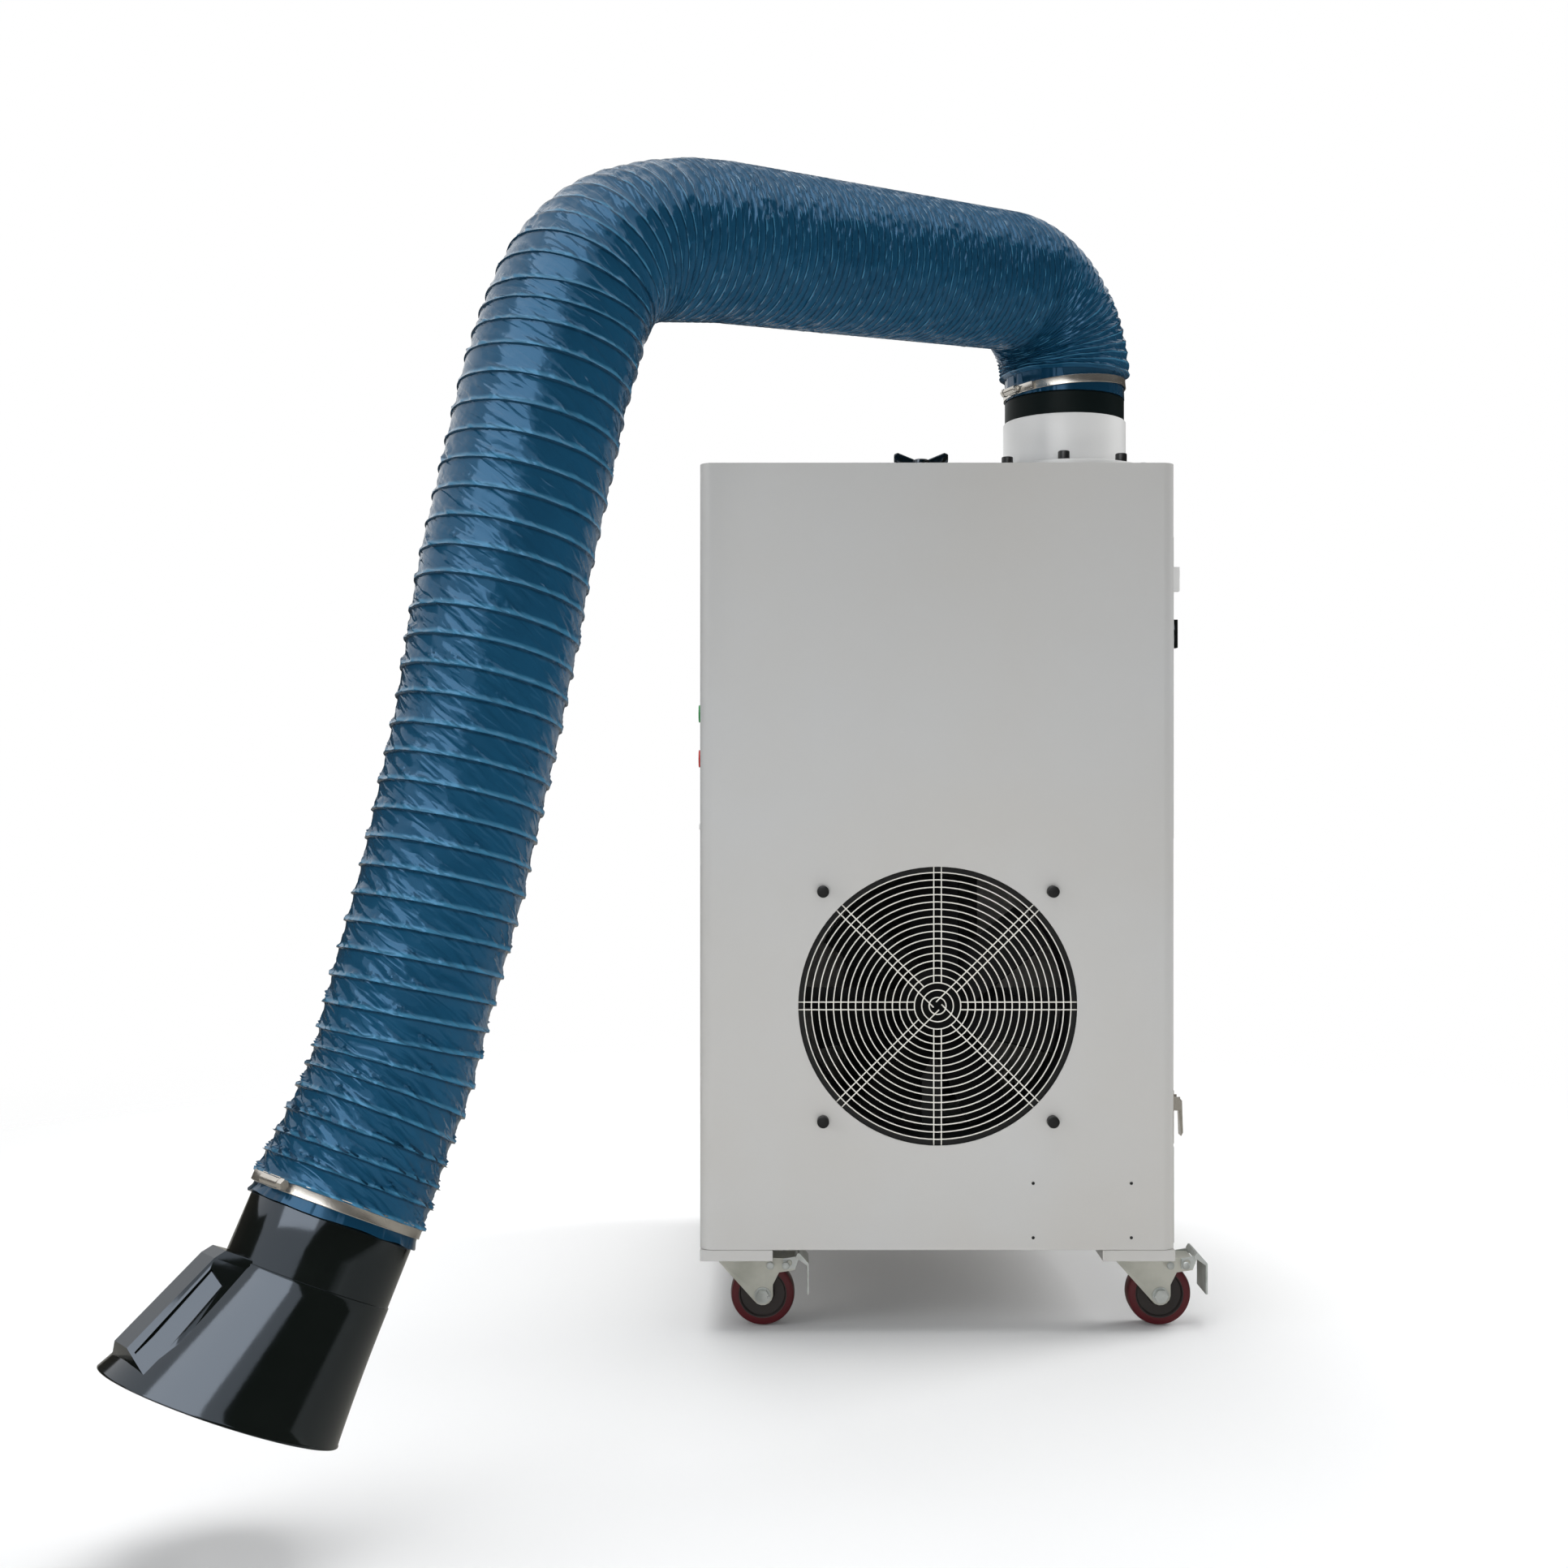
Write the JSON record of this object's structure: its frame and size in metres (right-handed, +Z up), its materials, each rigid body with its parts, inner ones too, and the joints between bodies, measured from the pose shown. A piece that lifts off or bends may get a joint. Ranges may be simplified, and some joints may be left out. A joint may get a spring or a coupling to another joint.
{
  "type": "mobile welding fume extractor",
  "caption": "Mobile welding fume extractor: steel cabinet on casters, filter cartridge, fan behind a guard, blue hose arm and black hood.",
  "frame": {"origin": "on the floor below the middle of the whole part's bounding box", "axes": "+Z up, the cabinet's front faces -Y, the door and drawer face +X"},
  "size_m": [1.0532, 1.2266, 1.3156],
  "materials": {
    "grey_paint": "satin powder coat",
    "pale_paint": "gloss powder coat",
    "inner_steel": "galvanised sheet",
    "zinc": "zinc plated",
    "stainless": "polished stainless",
    "aluminium": "extruded",
    "black_steel": "black paint",
    "pale_wire": "pale coated wire",
    "black_plastic": "glossy black",
    "blue_hose": "glossy coated fabric",
    "filter_paper": "pleated filter paper",
    "green_cap": "green",
    "red_cap": "red",
    "wine_tread": "wine-red polyurethane on a plastic core"
  },
  "bodies": {
    "cabinet": {"cabinet_shell": "grey_paint", "top_cover": "grey_paint", "base_plate": "grey_paint", "rear_panel": "grey_paint", "cable_gland": "black_plastic", "collar": "pale_paint", "collar_bolts": "black_steel", "filter_deck": "inner_steel", "filter_cartridge": "filter_paper", "filter_rod": "zinc", "spark_baffle": "inner_steel", "fan_guard": "pale_wire", "fan_shroud": "black_steel", "motor_bracket": "black_steel", "fan_motor": "black_steel", "door_hinge": "zinc", "latch_base": "zinc", "control_plate": "black_steel", "front_left_caster_plate": "grey_paint", "front_right_caster_plate": "grey_paint", "rear_left_caster_plate": "grey_paint", "rear_right_caster_plate": "grey_paint"},
    "wing_knob": {"wing_knob": "black_plastic"},
    "fan": {"fan_impeller": "black_plastic"},
    "filter_door": {"filter_door": "grey_paint"},
    "door_latch": {"door_latch": "black_plastic"},
    "dust_drawer": {"dust_drawer": "grey_paint"},
    "drawer_latch": {"drawer_latch": "stainless"},
    "start_button": {"start_button": "green_cap"},
    "stop_button": {"stop_button": "red_cap"},
    "arm_base": {"swivel_ring": "black_plastic", "shoulder_fork": "zinc", "shoulder_pin": "zinc", "base_clamp": "stainless", "hose_shoulder": "blue_hose"},
    "upper_arm": {"upper_link": "aluminium", "hose_upper": "blue_hose", "elbow_pin": "zinc", "hose_elbow": "blue_hose"},
    "lower_arm": {"lower_link": "aluminium", "hose_lower": "blue_hose", "wrist_pin": "zinc"},
    "hood": {"hood": "black_plastic", "hood_bracket": "zinc", "hood_clamp": "stainless", "hose_wrist": "blue_hose"},
    "front_left_caster": {"front_left_fork": "zinc", "front_left_axle": "zinc"},
    "front_left_wheel": {"front_left_wheel": "wine_tread"},
    "front_right_caster": {"front_right_fork": "zinc", "front_right_axle": "zinc"},
    "front_right_wheel": {"front_right_wheel": "wine_tread"},
    "rear_left_caster": {"rear_left_fork": "zinc", "rear_left_axle": "zinc"},
    "rear_left_wheel": {"rear_left_wheel": "wine_tread"},
    "rear_right_caster": {"rear_right_fork": "zinc", "rear_right_axle": "zinc"},
    "rear_right_wheel": {"rear_right_wheel": "wine_tread"},
    "front_left_pedal": {"front_left_brake_pedal": "zinc"},
    "front_right_pedal": {"front_right_brake_pedal": "zinc"}
  },
  "joints": [
    {"name": "arm_swivel", "type": "hinge", "parent": "cabinet", "child": "arm_base", "pos_m": [0.3801, 0.2133, 1.1], "axis": [0, 0, 1], "range_deg": [-180, 180]},
    {"name": "shoulder_lift", "type": "hinge", "parent": "arm_base", "child": "upper_arm", "pos_m": [0.3801, 0.2133, 1.249], "axis": [-0.6691, 0.7431, 0], "range_deg": [-2, 55], "deforming": ["hose_shoulder"]},
    {"name": "elbow_fold", "type": "hinge", "parent": "upper_arm", "child": "lower_arm", "pos_m": [-0.16164, -0.27449, 1.17238], "axis": [0.6691, -0.7431, 0], "range_deg": [-60, 20], "deforming": ["hose_elbow"]},
    {"name": "hood_tilt", "type": "hinge", "parent": "lower_arm", "child": "hood", "pos_m": [-0.31124, -0.40918, 0.38263], "axis": [0.6691, -0.7431, 0], "range_deg": [-40, 40], "deforming": ["hose_wrist"]},
    {"name": "fan_spin", "type": "hinge", "parent": "cabinet", "child": "fan", "pos_m": [0.2101, 0.1083, 0.3785], "axis": [0, -1, 0], "continuous": true},
    {"name": "knob_turn", "type": "hinge", "parent": "cabinet", "child": "wing_knob", "pos_m": [0.2101, 0.3083, 1.03], "axis": [0, 0, 1], "continuous": true},
    {"name": "door_swing", "type": "hinge", "parent": "cabinet", "child": "filter_door", "pos_m": [0.4939, 0.5403, 0.75], "axis": [0, 0, 1], "range_deg": [0, 110]},
    {"name": "door_latch_turn", "type": "hinge", "parent": "filter_door", "child": "door_latch", "pos_m": [0.5001, 0.1553, 0.816], "axis": [1, 0, 0], "range_deg": [0, 90]},
    {"name": "drawer_slide", "type": "slide", "parent": "cabinet", "child": "dust_drawer", "axis": [1, 0, 0], "range_m": [0, 0.35]},
    {"name": "drawer_latch_lift", "type": "hinge", "parent": "cabinet", "child": "drawer_latch", "pos_m": [0.4909, 0.0913, 0.2625], "axis": [0, -1, 0], "range_deg": [0, 90]},
    {"name": "start_press", "type": "slide", "parent": "cabinet", "child": "start_button", "axis": [1, 0, 0], "range_m": [0, 0.002], "stiffness_N_per_m": 400},
    {"name": "stop_press", "type": "slide", "parent": "cabinet", "child": "stop_button", "axis": [1, 0, 0], "range_m": [0, 0.002], "stiffness_N_per_m": 400},
    {"name": "front_left_swivel", "type": "hinge", "parent": "cabinet", "child": "front_left_caster", "pos_m": [-0.0224, 0.1058, 0.085], "axis": [0, 0, 1], "continuous": true},
    {"name": "front_left_roll", "type": "hinge", "parent": "front_left_caster", "child": "front_left_wheel", "pos_m": [0.0076, 0.1058, 0.0375], "axis": [0, 1, 0], "continuous": true},
    {"name": "front_right_swivel", "type": "hinge", "parent": "cabinet", "child": "front_right_caster", "pos_m": [0.4426, 0.1058, 0.085], "axis": [0, 0, 1], "continuous": true},
    {"name": "front_right_roll", "type": "hinge", "parent": "front_right_caster", "child": "front_right_wheel", "pos_m": [0.4726, 0.1058, 0.0375], "axis": [0, 1, 0], "continuous": true},
    {"name": "rear_left_swivel", "type": "hinge", "parent": "cabinet", "child": "rear_left_caster", "pos_m": [-0.0224, 0.5708, 0.085], "axis": [0, 0, 1], "continuous": true},
    {"name": "rear_left_roll", "type": "hinge", "parent": "rear_left_caster", "child": "rear_left_wheel", "pos_m": [0.0076, 0.5708, 0.0375], "axis": [0, 1, 0], "continuous": true},
    {"name": "rear_right_swivel", "type": "hinge", "parent": "cabinet", "child": "rear_right_caster", "pos_m": [0.4426, 0.5708, 0.085], "axis": [0, 0, 1], "continuous": true},
    {"name": "rear_right_roll", "type": "hinge", "parent": "rear_right_caster", "child": "rear_right_wheel", "pos_m": [0.4726, 0.5708, 0.0375], "axis": [0, 1, 0], "continuous": true},
    {"name": "front_left_brake", "type": "hinge", "parent": "front_left_caster", "child": "front_left_pedal", "pos_m": [0.0386, 0.1058, 0.0757], "axis": [0, 1, 0], "range_deg": [0, 8]},
    {"name": "front_right_brake", "type": "hinge", "parent": "front_right_caster", "child": "front_right_pedal", "pos_m": [0.5036, 0.1058, 0.0757], "axis": [0, 1, 0], "range_deg": [0, 8]}
  ]
}
